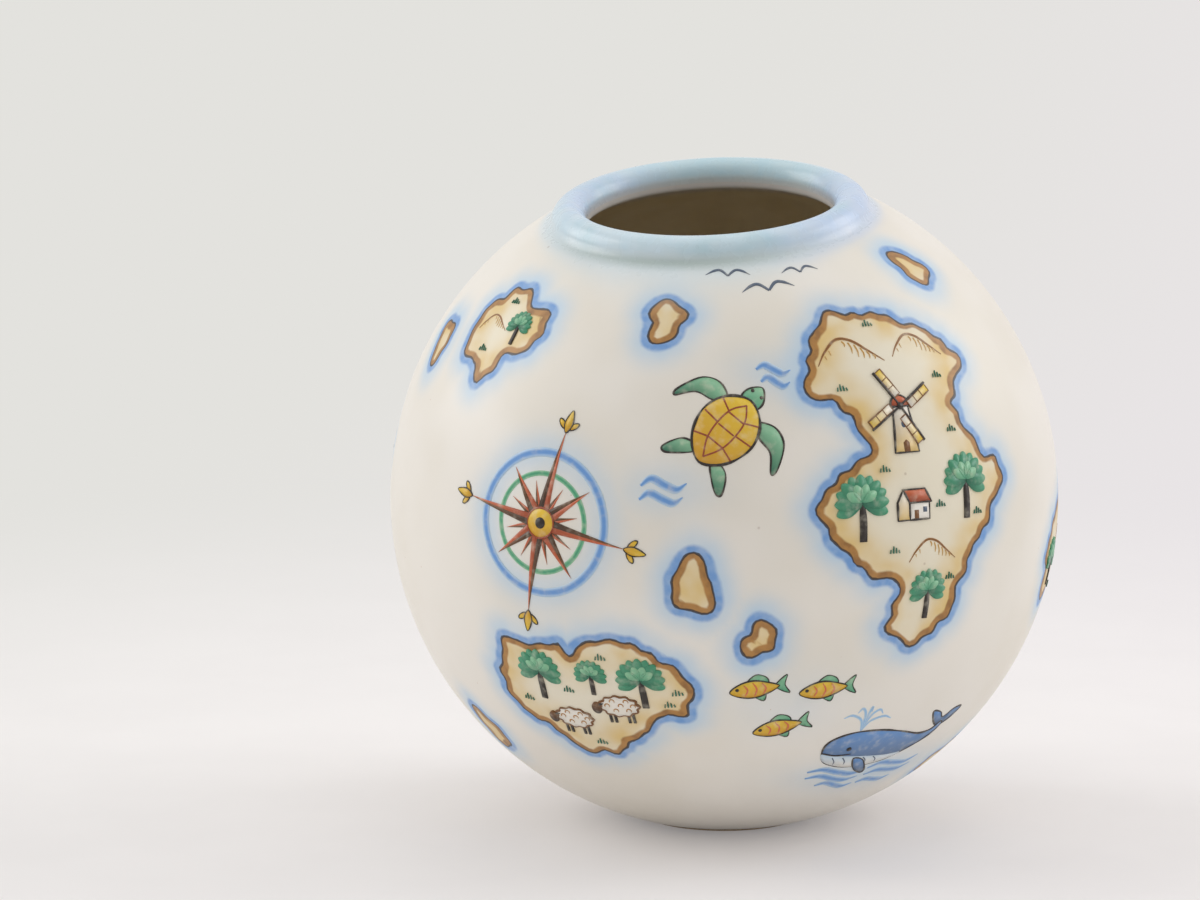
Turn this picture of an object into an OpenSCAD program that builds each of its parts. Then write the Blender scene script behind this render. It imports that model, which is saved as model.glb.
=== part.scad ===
// Globe vase: a round body with a flat back, a rolled collar that leans forward, and a low foot ring.
// The origin is the centre of the foot's underside, +Z is up and the flat back faces +Y.

/* [Globe] */
// Outer diameter of the globe
globe_d = 200; // [160:1:260]
// Thickness of the globe's wall
wall = 7; // [4:0.5:8]
// Thickness of the floor under the hollow
floor_t = 7; // [5:0.5:12]
// Radius where the floor curves up into the wall
floor_curve = 14; // [6:1:20]

/* [Flat back] */
// Distance from the globe's centre to the face of the flat back
back_reach = 72; // [62:1:78]
// Thickness of the back slab
back_t = 6; // [5:0.5:9]
// Radius of the slab's rounded edge
back_edge = 5.5; // [2:0.5:9]

/* [Collar] */
// Lean of the mouth towards the front, in degrees
lean = 11.5; // [0:0.5:15]
// Inner diameter of the mouth
mouth_d = 73; // [60:1:76]
// Thickness of the rolled lip
lip_t = 10.2; // [8:0.2:11]
// Diameter of the circle where the neck runs out on the globe
neck_d = 97; // [96:1:104]
// Height of the lip's crest over that circle
collar_h = 6.2; // [6:0.1:9]

/* [Foot] */
// Outer diameter of the foot ring
foot_d = 48; // [40:1:80]
// Width of the foot ring
foot_w = 7; // [5:0.5:12]
// Height of the foot ring
foot_h = 1.2; // [1:0.1:4]
// Radius of the rounded edges of the standing face
foot_edge = 0.4; // [0.2:0.1:0.5]
// Step from the foot ring out to the edge of the globe's flat underside
foot_step = 3; // [2:0.5:8]
// Radius of the underside's rounded edge
base_edge = 5; // [1:0.5:8]

/* [Hidden] */
$fn = 96;

globe_r = globe_d / 2;
hollow_r = globe_r - wall;

// Planes of the flats, as distances from the globe's centre
base_reach = sqrt(pow(globe_r, 2) - pow(foot_d / 2 + foot_step, 2));
floor_reach = base_reach - floor_t;
back_seat = back_reach - back_t;

// Height of the globe's centre over the surface that the vase stands on
globe_z = foot_h + base_reach;

// The collar's section, in a plane through the mouth's axis: a round lip, and a neck arc that is
// tangent to the lip and to the globe
lip_r = lip_t / 2;
mouth_r = mouth_d / 2;
neck_foot = [neck_d / 2, sqrt(pow(globe_r, 2) - pow(neck_d / 2, 2))];
lip_mid = [mouth_r + lip_r, neck_foot.y + collar_h - lip_r];
foot_way = neck_foot / globe_r;
lip_along = foot_way * lip_mid;
neck_r = (pow(lip_r, 2) - pow(globe_r, 2) + 2 * globe_r * lip_along - lip_mid * lip_mid)
    / (2 * (globe_r - lip_along - lip_r));
neck_mid = foot_way * (globe_r + neck_r);

// Half of a disc of radius r about the origin, cut off at y = reach, with the corner there rounded
module clipped_half_disc(r, reach, edge) {
    edge_mid = [sqrt(pow(r - edge, 2) - pow(reach - edge, 2)), reach - edge];
    beyond = 1.2;
    difference() {
        intersection() {
            circle(r);
            translate([0, reach - 2 * r]) square([r, 2 * r]);
        }
        difference() {
            polygon([
                edge_mid,
                [edge_mid.x, beyond * reach],
                beyond * [r, reach],
                edge_mid * beyond * r / (r - edge)
            ]);
            translate(edge_mid) circle(edge);
        }
    }
}

// Section of the globe's wall below its waist, with the flat underside and the hollow's floor
module lower_section() {
    intersection() {
        mirror([0, 1]) difference() {
            clipped_half_disc(globe_r, base_reach, base_edge);
            clipped_half_disc(hollow_r, floor_reach, floor_curve);
        }
        translate([0, -globe_r]) square(globe_r);
    }
}

// Section of the globe's wall above its waist
module upper_section() {
    intersection() {
        difference() {
            circle(globe_r);
            circle(hollow_r);
        }
        square(globe_r);
    }
}

// Section of the back slab, with its axis upright
module back_section() {
    intersection() {
        clipped_half_disc(globe_r, back_reach, min(back_edge, back_t));
        translate([0, back_seat]) square(globe_r);
    }
}

// Section of the lip and neck over the plane that the collar sits on
module collar_section() {
    intersection() {
        translate([0, neck_foot.y]) square(globe_r);
        union() {
            translate(lip_mid) circle(lip_r);
            difference() {
                polygon([[mouth_r, neck_foot.y], neck_foot, neck_mid, lip_mid, [mouth_r, lip_mid.y]]);
                translate(neck_mid) circle(neck_r);
            }
        }
    }
}

// Section of the foot ring, flat on top and rounded at both edges of the standing face
module foot_section() {
    inner_r = foot_d / 2 - foot_w;
    translate([inner_r, foot_edge]) square([foot_w, foot_h - foot_edge]);
    translate([inner_r + foot_edge, 0]) square([foot_w - 2 * foot_edge, foot_h]);
    for (x = [foot_edge, foot_w - foot_edge])
        translate([inner_r + x, foot_edge]) circle(foot_edge);
}

// Puts a shape drawn about the globe's centre in its place
module at_globe() {
    translate([0, 0, globe_z]) children();
}

// Turns a shape drawn about the Z axis onto the axis of the flat back
module on_back_axis() {
    at_globe() rotate([-90, 0, 0]) children();
}

// Turns a shape drawn about the Z axis onto the axis of the mouth
module on_mouth_axis() {
    at_globe() rotate([lean, 0, 0]) children();
}

// Everything behind the seat of the back slab
module behind_back_seat() {
    on_back_axis() translate([0, 0, back_seat]) cylinder(r = globe_r, h = globe_r);
}

// Lower half of the globe, from the flat underside to the waist
module lower_shell() {
    color("ivory") difference() {
        at_globe() rotate_extrude() lower_section();
        behind_back_seat();
    }
}

// Upper half of the globe, with the collar's seat round the mouth
module upper_shell() {
    color("ivory") difference() {
        at_globe() rotate_extrude() upper_section();
        behind_back_seat();
        on_mouth_axis() {
            translate([0, 0, neck_foot.y]) cylinder(r = globe_r, h = globe_r);
            cylinder(r = mouth_r, h = globe_r);
        }
    }
}

// Flat round slab that closes the back across both halves
module back_panel() {
    color("ivory") on_back_axis() rotate_extrude() back_section();
}

// Rolled lip and concave neck, leaning towards the front
module collar() {
    color("lightskyblue") on_mouth_axis() rotate_extrude() collar_section();
}

// Low ring that the vase stands on, round the recess under the globe
module foot_ring() {
    color("burlywood") rotate_extrude() foot_section();
}

lower_shell();
upper_shell();
back_panel();
collar();
foot_ring();
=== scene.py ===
import math
import random

import bpy
import numpy as np
from mathutils import Matrix, Vector
from mathutils.geometry import delaunay_2d_cdt


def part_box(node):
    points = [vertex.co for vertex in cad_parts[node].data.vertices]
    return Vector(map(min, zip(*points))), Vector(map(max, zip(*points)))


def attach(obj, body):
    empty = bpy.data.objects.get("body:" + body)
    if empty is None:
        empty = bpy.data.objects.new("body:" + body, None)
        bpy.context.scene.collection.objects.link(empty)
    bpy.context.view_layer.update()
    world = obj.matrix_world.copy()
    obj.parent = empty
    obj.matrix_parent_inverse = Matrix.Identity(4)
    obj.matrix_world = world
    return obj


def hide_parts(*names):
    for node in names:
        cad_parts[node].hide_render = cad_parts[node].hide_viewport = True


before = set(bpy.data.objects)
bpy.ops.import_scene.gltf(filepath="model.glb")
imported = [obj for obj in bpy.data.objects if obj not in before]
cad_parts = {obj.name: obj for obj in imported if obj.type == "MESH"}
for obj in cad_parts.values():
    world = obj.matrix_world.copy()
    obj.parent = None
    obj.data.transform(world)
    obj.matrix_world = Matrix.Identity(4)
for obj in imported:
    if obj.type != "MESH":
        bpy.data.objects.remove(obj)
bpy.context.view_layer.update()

# A millimetre, the unit of the shapes below, in metres
MM = 0.001

# Source of the random draws, the same in each run
rng = random.Random(7)

# Sizes of the globe, from the boxes of the CAD parts in model.glb
shell_low, shell_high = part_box("lower_shell")
back_low, back_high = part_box("back_panel")
GLOBE_R = shell_high.x / MM
GLOBE_Z = shell_high.z / MM
BASE_Z = shell_low.z / MM
BACK_SEAT = back_low.y / MM
BACK_REACH = back_high.y / MM
FOOT_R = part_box("foot_ring")[1].x / MM

# Sizes that the CAD parts' boxes don't tell
WALL = 7
FLOOR_T = 7
FLOOR_CURVE = 14
BACK_EDGE = 5.5
SEAT_EDGE = 3
BASE_EDGE = 5
LEAN = math.radians(11.5)
MOUTH_R = 36.5
LIP_R = 5.1
NECK_R = 48.5
COLLAR_H = 6.2
THROAT_EDGE = 1.5
# Width of the bare clay round the foot
BARE_W = 1.5

# Derived sizes, along the mouth's axis and across it
HOLLOW_R = GLOBE_R - WALL
BASE_REACH = GLOBE_Z - BASE_Z
FLOOR_REACH = BASE_REACH - FLOOR_T
NECK_UP = math.sqrt(GLOBE_R ** 2 - NECK_R ** 2)
LIP_MID = np.array((MOUTH_R + LIP_R, NECK_UP + COLLAR_H - LIP_R))

# Directions from the globe's centre
CENTRE = np.array((0, 0, GLOBE_Z))
SIDE = np.array((1.0, 0, 0))
BACK = np.array((0, 1.0, 0))
UP = np.array((0, 0, 1.0))
MOUTH = np.array((0, -math.sin(LEAN), math.cos(LEAN)))
REAR = np.cross(MOUTH, SIDE)

# Rounded flats of the outer and the inner surface: direction, distance and edge radius
OUTER_FLATS = ((BACK, BACK_REACH, BACK_EDGE), (-UP, BASE_REACH, BASE_EDGE))
INNER_FLATS = ((BACK, BACK_SEAT, SEAT_EDGE), (-UP, FLOOR_REACH, FLOOR_CURVE))

# Mesh counts
COLUMNS = 420
OUTER_ROWS = 176
INNER_ROWS = 40
LIP_STEPS = 40
NECK_STEPS = 14
THROAT_STEPS = 6

# Directions square to the mouth's axis, one for each column
turns = np.linspace(0, math.tau, COLUMNS, endpoint=False)
LEVEL = np.outer(np.cos(turns), SIDE) + np.outer(np.sin(turns), REAR)

# Raised enamel: height of the lowest layer, step between layers and depth into the glaze
RISE = 0.06
LAYER = 0.03
SINK = 0.15
# Layer on which the things in front on an island start
FRONT = 8
# Longest edge along a stroke and in a filled shape, so that both follow the globe
STROKE_GAP = 1.5
FILL_GAP = 3.0
# Strokes: share of the length in which a tip narrows, and lines across a stroke of two colours
TIP_RUN = 0.3
CORE = 0.25
LANES = (-1, -0.6, -CORE, CORE, 0.6, 1)
# Inked edges: how far their width swells and thins, and the length of a swell
PRESS = 0.4
SWELL = 16.0

# Painted shade in the crease at the foot of the neck, strongest in front: strength, and reach up the neck and
# down the globe
CREASE_SHADE = 0.8
SHADE_RISE = 1.6
SHADE_DROP = 2.0
# Airbrushed blue at the foot of the neck: strength, fade down the globe, and extra fade in front
NECK_BLUE = 0.7
NECK_FADE = 2.2
FRONT_FADE = 8.0
# Share of the flanks' tint on the outer left, where the airbrush went over only lightly
LEFT_TINT = 0.6
# Blue inside the mouth at the collar's foot, and gain in blue up to the crest, inside and outside
MOUTH_BLUE = 0.6
MOUTH_GAIN = 0.9
LIP_GAIN = 0.6
# Grey tint of the throat: strength, share of the collar that it climbs, and fade into the hollow
THROAT_GREY = 0.55
GREY_CLIMB = 0.4
GREY_FADE = 4

# Depth of the bays in an island's coast
BAYS = 1.7
# Distance from a coast past which its field stays level
COAST_REACH = 40.0
# Fades beside a coast, by distance from it, which is positive on land
HAZE = (-14, -1)
BLUE_OUTER = (-3.0, -1.6)
BLUE_INNER = (-0.1, 1.3)
LAND_EDGE = (-0.1, 0.1)
DARK_LINE = (0.2, 0.44)
SHORE = (1.6, 2.3)
OCHRE_WASH = (1, 14)

# Camera: where it stands from the vase, in metres, and how it looks
CAMERA_AWAY = 1.2477
CAMERA_LEFT = 0.0371
CAMERA_HEIGHT = 0.2894
CAMERA_TURN = math.radians(15.6)
CAMERA_PITCH = math.radians(8.12)
CAMERA_LENS = 126
SENSOR = 36

# The stage's floor: half its width, its front edge, and the backdrop's place, its top and the bend up to it
STAGE_HALF = 4000
STAGE_FRONT = -3000
BACKDROP = 2600
BACKDROP_TOP = 3200
STAGE_BEND = 1200
# Where the floor turns evenly lit, by distance from the vase, and where its tint turns, from left to right
EVEN_RUN = (100, 700)
TINT_RUN = (-500, 300)
# Lamps: place and size in metres, and power in watts
LAMPS = {
    "left": ((-1.6, -0.1, 1.0), 1.2, 11),
    "right": ((1.4, 0.77, 1.0), 1.2, 11),
    "top": ((0.0, 0.15, 1.5), 1.6, 5),
}
WORLD_COLOUR = (1, 0.99, 0.98, 1)
WORLD_LIGHT = 0.6


def paint(red, green, blue):
    """A colour from display values of 0 to 255, made linear for shaders."""
    shares = [value / 255 for value in (red, green, blue)]
    return tuple(s / 12.92 if s <= 0.04045 else ((s + 0.055) / 1.055) ** 2.4 for s in shares)


CREAM = paint(232, 226, 214)
IVORY = paint(238, 233, 224)
LAND = paint(234, 226, 205)
OCHRE = paint(222, 190, 118)
BROWN = paint(176, 124, 58)
UMBER = paint(122, 78, 34)
DARK = paint(44, 36, 30)
HALO = paint(188, 213, 233)
MIST = paint(200, 220, 231)
TEAL = paint(170, 204, 214)
PERIWINKLE = paint(188, 207, 236)
SKY = paint(148, 188, 226)
BLUE = paint(104, 152, 212)
LEAF = paint(74, 156, 118)
LEAF_DARK = paint(38, 106, 82)
LEAF_PALE = paint(146, 200, 160)
YELLOW = paint(236, 200, 62)
GOLD = paint(206, 152, 40)
RUST = paint(150, 66, 34)
CORAL = paint(214, 112, 72)
SLATE = paint(84, 98, 118)
THROAT = paint(212, 207, 201)
# Grey-green of the painted shade in the crease under the collar
SHADE_GREY = paint(156, 172, 167)
CLAY = paint(206, 182, 150)
CLAY_DARK = paint(184, 156, 122)
INNER = paint(232, 219, 192)
INNER_DARK = paint(223, 208, 176)
PAPER = paint(240, 237, 236)
PAPER_PALE = paint(243, 240, 239)
PAPER_LEFT = paint(227, 226, 222)
PAPER_RIGHT = paint(234, 229, 232)


# Geometry of the globe


def unit(rows):
    """Vectors, one in each row, brought to a length of 1."""
    return rows / np.maximum(np.linalg.norm(rows, axis=1, keepdims=True), 1e-9)


def cut_sphere(ways, radius, flats):
    """Points, from the globe's centre, and normals where rays meet a sphere with rounded flats."""
    depth = np.full(len(ways), float(radius))
    normals = ways.copy()
    for axis, reach, edge in flats:
        up = ways @ axis
        side = ways - np.outer(up, axis)
        out = np.linalg.norm(side, axis=1)
        mid_up = reach - edge
        mid_out = math.sqrt((radius - edge) ** 2 - mid_up ** 2)
        on_flat = (up > 0) & (out * reach < up * mid_out)
        on_edge = (up > 0) & (out * mid_up < up * mid_out) & ~on_flat
        depth[on_flat] = reach / up[on_flat]
        normals[on_flat] = axis
        along = out[on_edge] * mid_out + up[on_edge] * mid_up
        depth[on_edge] = along + np.sqrt(along ** 2 - mid_out ** 2 - mid_up ** 2 + edge ** 2)
        ring = side[on_edge] / out[on_edge, None] * mid_out + mid_up * axis
        normals[on_edge] = (ways[on_edge] * depth[on_edge, None] - ring) / edge
    return ways * depth[:, None], normals


def ring_ways(top, rows):
    """Directions in rings, from that angle off the mouth's axis down to the far pole, which comes last."""
    polars = np.linspace(top, math.pi, rows + 1)[:-1]
    return np.vstack([math.sin(polar) * LEVEL + math.cos(polar) * MOUTH for polar in polars] + [-MOUTH])


def turned(section):
    """Points of a section, given across and along the mouth's axis, turned about that axis."""
    return np.vstack([out * LEVEL + up * MOUTH for out, up in section])


def ring_quads(upper, lower):
    """Faces between two rings of columns, given by their first points."""
    return [
        (upper + i, lower + i, lower + (i + 1) % COLUMNS, upper + (i + 1) % COLUMNS)
        for i in range(COLUMNS)
    ]


def bowl_faces(first, rings):
    """Faces over that many rings from a first point on, closed at the pole that comes after them."""
    pole = first + rings * COLUMNS
    last = pole - COLUMNS
    faces = []
    for ring in range(first, last, COLUMNS):
        faces += ring_quads(ring, ring + COLUMNS)
    return faces + [(last + i, pole, last + (i + 1) % COLUMNS) for i in range(COLUMNS)]


def add_linked(name, data):
    """A new object in the scene that holds this data."""
    made = bpy.data.objects.new(name, data)
    bpy.context.scene.collection.objects.link(made)
    return made


def add_object(name, points, faces):
    """A new mesh object from points in millimetres, smooth all over."""
    mesh = bpy.data.meshes.new(name)
    mesh.from_pydata((np.asarray(points) * MM).tolist(), [], faces)
    mesh.shade_smooth()
    mesh.update()
    return add_linked(name, mesh)


def set_values(piece, first=0, **fields):
    """Stores named numbers for the points of a piece from the first on, for its material to read."""
    for name, values in fields.items():
        stored = np.zeros(len(piece.data.vertices), np.float32)
        stored[first:first + len(values)] = values
        piece.data.attributes.new(name, "FLOAT", "POINT").data.foreach_set("value", stored)


def sharpen(piece, *rings):
    """Makes the edges sharp that join points of these rings of columns, given by their first points."""
    chosen = {first + i for first in rings for i in range(COLUMNS)}
    for edge in piece.data.edges:
        edge.use_edge_sharp = all(point in chosen for point in edge.vertices)


# Flat charts of the globe's surface


class Chart:
    """A flat map of the globe in millimetres, round a longitude and latitude in degrees from the front."""

    def __init__(self, longitude, latitude):
        lon, lat = math.radians(longitude), math.radians(latitude)
        self.out = np.array((math.sin(lon) * math.cos(lat), -math.cos(lon) * math.cos(lat), math.sin(lat)))
        self.east = np.array((math.cos(lon), math.sin(lon), 0))
        self.north = np.cross(self.out, self.east)

    def ways(self, flat):
        away = np.linalg.norm(flat, axis=1, keepdims=True) / GLOBE_R
        side = unit(flat) @ np.stack((self.east, self.north))
        return np.cos(away) * self.out + np.sin(away) * side

    def flat(self, ways):
        away = np.arccos(np.clip(ways @ self.out, -1, 1))[:, None]
        side = np.stack((ways @ self.east, ways @ self.north), axis=1)
        return GLOBE_R * away * unit(side)


class BackChart:
    """The flat back as seen from behind, in millimetres from its middle."""

    def ways(self, flat):
        return unit(np.column_stack((-flat[:, 0], np.full(len(flat), BACK_REACH), flat[:, 1])))


# Plane curves


def curve(points, closed=False, steps=6):
    """A smooth curve through these points."""
    points = np.asarray(points, float)
    if closed:
        padded = np.vstack((points[-1:], points, points[:2]))
    else:
        padded = np.vstack((2 * points[:1] - points[1:2], points, 2 * points[-1:] - points[-2:-1]))
    t = np.linspace(0, 1, steps, endpoint=False)[:, None]
    runs = [
        b + 0.5 * t * (c - a + t * (2 * a - 5 * b + 4 * c - d + t * (3 * b - a - 3 * c + d)))
        for a, b, c, d in zip(padded, padded[1:], padded[2:], padded[3:])
    ]
    if not closed:
        runs.append(points[-1:])
    return np.vstack(runs)


def rounded(*points, steps=6):
    """A smooth closed outline through these points."""
    return curve(points, closed=True, steps=steps)


def arc(middle, radius, start, end, steps=24):
    """Points on a circle, or on an ellipse where radius is a pair, between two angles in degrees."""
    angle = np.radians(np.linspace(start, end, steps))
    return np.asarray(middle) + np.column_stack((np.cos(angle), np.sin(angle))) * np.asarray(radius)


def loop(middle, radius, steps=40):
    """A whole circle or ellipse."""
    return arc(middle, radius, 0, 360, steps + 1)[:-1]


def panel(left, low, right, high):
    """Corners of a rectangle."""
    return [(left, low), (right, low), (right, high), (left, high)]


def mirrored(points):
    """The same outline on the other side of the upright axis."""
    return np.asarray(points, float)[::-1] * (-1, 1)


def spaced(path, gap, closed=False):
    """The path with points added so that none are further apart than the gap."""
    path = np.asarray(path, float)
    ends = np.roll(path, -1, axis=0) if closed else path[1:]
    runs = []
    for a, b in zip(path, ends):
        count = max(1, math.ceil(np.linalg.norm(b - a) / gap))
        runs.append(a + np.linspace(0, 1, count, endpoint=False)[:, None] * (b - a))
    if not closed:
        runs.append(path[-1:])
    return np.vstack(runs)


def sideways(path, closed=False):
    """Unit vectors that point to the right of a path."""
    if closed:
        along = np.roll(path, -1, axis=0) - np.roll(path, 1, axis=0)
    else:
        along = np.gradient(path, axis=0)
    x, y = unit(along).T
    return np.column_stack((y, -x))


def travelled(outline):
    """Distance along a closed outline to each of its points, and its whole length."""
    steps = np.linalg.norm(np.roll(outline, -1, axis=0) - outline, axis=1)
    return np.cumsum(steps) - steps, steps.sum()


def inside_distance(points, outline):
    """Distance from each point to a closed outline, positive inside it."""
    best = np.full(len(points), np.inf)
    inside = np.zeros(len(points), bool)
    x, y = points.T
    for a, b in zip(outline, np.roll(outline, -1, axis=0)):
        edge = b - a
        along = np.clip((points - a) @ edge / (edge @ edge), 0, 1)
        best = np.minimum(best, np.linalg.norm(points - a - along[:, None] * edge, axis=1))
        if a[1] != b[1]:
            inside ^= ((a[1] > y) != (b[1] > y)) & (x < a[0] + (y - a[1]) / edge[1] * edge[0])
    return np.where(inside, best, -best)


# Enamel painting


class Painting:
    """Thin closed pieces of raised enamel on a chart of the surface, joined into one object."""

    def __init__(self, name, chart):
        self.name = name
        self.chart = chart
        self.points = []
        self.faces = []
        self.walls = []
        self.colours = []

    def placed(self, flat, height):
        points, normals = cut_sphere(self.chart.ways(flat), GLOBE_R, OUTER_FLATS)
        return CENTRE + points + height * normals

    def slab(self, flat, faces, colours, layer):
        """Adds the faces as a slab, with its top in that layer and its underside in the glaze."""
        first = sum(len(p) for p in self.points)
        under = first + len(flat)
        self.points += [self.placed(flat, RISE + layer * LAYER), self.placed(flat, -SINK)]
        self.colours += [colours, colours]
        directed = {(a, b) for face in faces for a, b in zip(face, face[1:] + face[:1])}
        for face in faces:
            self.faces.append(tuple(first + i for i in face))
            self.faces.append(tuple(under + i for i in reversed(face)))
        for a, b in sorted(directed):
            if (b, a) not in directed:
                self.walls.append((first + a, under + a, under + b, first + b))

    def finish(self, material):
        """Makes the object, with flat walls and smooth tops."""
        piece = add_object(self.name, np.vstack(self.points), self.faces + self.walls)
        smooth = [True] * len(self.faces) + [False] * len(self.walls)
        piece.data.polygons.foreach_set("use_smooth", smooth)
        colours = np.vstack(self.colours)
        field = piece.data.attributes.new("paint", "FLOAT_COLOR", "POINT")
        field.data.foreach_set("color", np.column_stack((colours, np.ones(len(colours)))).ravel())
        piece.data.materials.append(material)
        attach(piece, "root")


class Brush:
    """Draws on a painting at a place, turn and size of its own."""

    def __init__(self, painting, at=(0, 0), turn=0, size=1.0, layer=0):
        self.painting = painting
        self.at = np.asarray(at, float)
        self.turn = turn
        self.size = size
        self.layer = layer

    def moved(self, at=(0, 0), turn=0, layer=0):
        where = self.placed(np.array([at], float))[0]
        return Brush(self.painting, where, self.turn + turn, self.size, self.layer + layer)

    def placed(self, points):
        angle = math.radians(self.turn)
        along = np.array((math.cos(angle), math.sin(angle)))
        across = np.array((-along[1], along[0]))
        return self.at + self.size * (points[:, :1] * along + points[:, 1:] * across)

    def fill(self, outline, low, high=None, layer=0):
        """Fills a closed outline with one colour, or with a blend from its foot to its top."""
        gap = FILL_GAP / self.size
        outline = spaced(outline, gap, closed=True)
        lowest, highest = outline.min(axis=0), outline.max(axis=0)
        ticks = [np.arange(a + gap / 2, b, gap) for a, b in zip(lowest, highest)]
        grid = np.stack(np.meshgrid(*ticks), axis=-1).reshape(-1, 2)
        if len(grid):
            grid = grid[inside_distance(grid, outline) > gap / 3]
        corners = [Vector(p) for p in np.vstack((outline, grid))]
        made = delaunay_2d_cdt(corners, [], [list(range(len(outline)))], 1, 1e-6)
        flat = np.array([tuple(p) for p in made[0]])
        share = (flat[:, 1:] - lowest[1]) / max(highest[1] - lowest[1], 1e-9)
        colours = np.asarray(low) + share * (np.asarray(high or low) - np.asarray(low))
        self.painting.slab(self.placed(flat), [list(f) for f in made[2]], colours, self.layer + layer)

    def stroke(self, path, width, colour, edge=None, tips=(1.0, 1.0), closed=False, layer=1, press=0):
        """Paints a stroke. Tips are shares of its width at its ends, and edge is the colour of its sides."""
        path = spaced(path, STROKE_GAP / self.size, closed)
        if closed:
            gone, length = travelled(path)
            around = math.tau * gone / length
            swells = max(2, round(length * self.size / SWELL))
            swell = 0.6 * np.sin(swells * around + path[0].sum()) + 0.4 * np.sin((2 * swells + 1) * around)
            wide = 1 + press * swell
        else:
            share = np.linspace(0, 1, len(path))
            rise = tips[0] + (1 - tips[0]) * share / TIP_RUN
            fall = tips[1] + (1 - tips[1]) * (1 - share) / TIP_RUN
            wide = np.minimum(1, np.minimum(rise, fall))
        across = sideways(path, closed) * (wide * width / 2)[:, None]
        lanes = LANES if edge else (-1, 1)
        flat = np.stack([path + across * lane for lane in lanes], axis=1).reshape(-1, 2)
        fade = np.interp(np.abs(lanes), (CORE, 1), (0, 1))[:, None]
        tints = np.asarray(colour) + fade * (np.asarray(edge or colour) - np.asarray(colour))
        colours = np.tile(tints, (len(path), 1))
        rows = len(path) if closed else len(path) - 1
        count = len(lanes)
        faces = []
        for i in range(rows):
            here, there = i * count, (i + 1) % len(path) * count
            faces += [[here + k, here + k + 1, there + k + 1, there + k] for k in range(count - 1)]
        self.painting.slab(self.placed(flat), faces, colours, self.layer + layer)

    def outlined(self, outline, low, high, width, ink=DARK, layer=0):
        """A filled shape with an inked edge."""
        self.fill(outline, low, high, layer)
        self.stroke(outline, width, ink, closed=True, layer=layer + 1, press=PRESS)


# Motifs, drawn in millimetres about their own middle or foot


def fleur(brush):
    """A small gilt flower of three leaves, on its stalk."""
    leaf = np.array(((0.3, 0.6), (1.6, 0.6), (3.0, 1.7), (3.2, 2.9), (1.7, 2.5)))
    for side in (-1, 1):
        brush.outlined(rounded(*leaf * (side, 1)), GOLD, YELLOW, 0.3)
    bud = rounded((0, -0.6), (1.3, 2.2), (0, 6), (-1.3, 2.2))
    brush.outlined(bud, GOLD, YELLOW, 0.3, layer=2)


def compass_rose(brush):
    """Sixteen-point rose with split points, two rings and gilt tips."""
    waist = 4.6
    sixteenth = 22.5
    brush.stroke(loop((0, 0), 20, 80), 2.6, BLUE, HALO, closed=True, layer=0)
    brush.stroke(loop((0, 0), 14, 60), 1.5, LEAF, LEAF_PALE, closed=True, layer=0)
    # Least, half and main points: the first, the step to the next, their reach and the turn to their corners
    rows = ((1, 2, 12, sixteenth / 2), (2, 4, 18, sixteenth), (0, 4, 27, sixteenth))
    for layer, (first, step, reach, lean) in enumerate(rows, 1):
        x, y = waist * math.sin(math.radians(lean)), waist * math.cos(math.radians(lean))
        for k in range(first, 16, step):
            point = brush.moved(turn=sixteenth * k, layer=layer)
            point.fill([(0, 0), (x, y), (0, reach)], RUST, CORAL)
            point.fill([(0, 0), (0, reach), (-x, y)], DARK, UMBER)
            if layer == len(rows):
                fleur(point.moved((0, reach)))
    brush.outlined(loop((0, 0), 4.3), GOLD, YELLOW, 0.5, RUST, layer=6)
    brush.fill(loop((0, 0), 1.6, 20), DARK, layer=8)


def waves(brush, rows, span):
    """Rows of soft blue strokes that rise and fall."""
    shape = np.array(((0, 0), (0.22, 1), (0.5, 0), (0.74, -0.7), (0.95, 0.2)))
    for row in range(rows):
        wide = span * (1 - 0.16 * row) * rng.uniform(0.85, 1.0)
        count = 2 if wide > 20 else 1
        length = wide / count
        for k in range(count):
            start = -wide / 2 + k * length + rng.uniform(-1, 1)
            y = -3.6 * row + rng.uniform(-0.5, 0.5)
            crest = 1.5 + rng.uniform(-0.2, 0.4)
            path = curve((start, y) + shape * (length, crest))
            brush.stroke(path, 2.6, BLUE, HALO, tips=(0.35, 0.15), layer=0)


def sea(rows, span):
    """A motif of that many rows of waves."""
    return lambda brush: waves(brush, rows, span)


def gull(brush):
    """A bird in flight, as two strokes."""
    wing = np.array(((0, 0), (2.2, 2.3), (4.2, 2.2), (7, 0.6)))
    for side in (-1, 1):
        brush.stroke(curve(wing * (side, 1)), 0.9, SLATE, tips=(0.7, 0.1))


def tuft(brush):
    """A few blades of grass."""
    for x, height in ((-1.5, 1.1), (-0.5, 2.0), (0.5, 1.5), (1.5, 0.9)):
        brush.stroke([(x, 0), (0.85 * x, height)], 0.42, LEAF_DARK, tips=(1, 0.5))


def dab(brush, at, turn, length, width, low, high, layer):
    """One leaf-shaped touch of a loaded brush."""
    leaf = np.array(((0, 0), (1, 0.5), (0.7, 0.85), (0, 1), (-0.7, 0.85), (-1, 0.5))) * (width / 2, length)
    brush.moved(at, turn, layer).fill(rounded(*leaf, steps=4), low, high)


def round_tree(brush):
    """A broad tree with a round crown of brush dabs."""
    brush.stroke([(0, 0), (0.1, 4), (0, 8)], 1.7, DARK, tips=(1, 0.6), layer=0)
    for k, turn in enumerate(range(-110, 111, 22)):
        dab(brush, (0, 8.2), turn, 6.4, 2.9, LEAF_DARK, LEAF, layer=1 + k % 2)
    for turn in (-60, -20, 20, 60):
        dab(brush, (0, 8.6), turn, 4.0, 2.2, LEAF, LEAF_PALE, layer=3)


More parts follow.
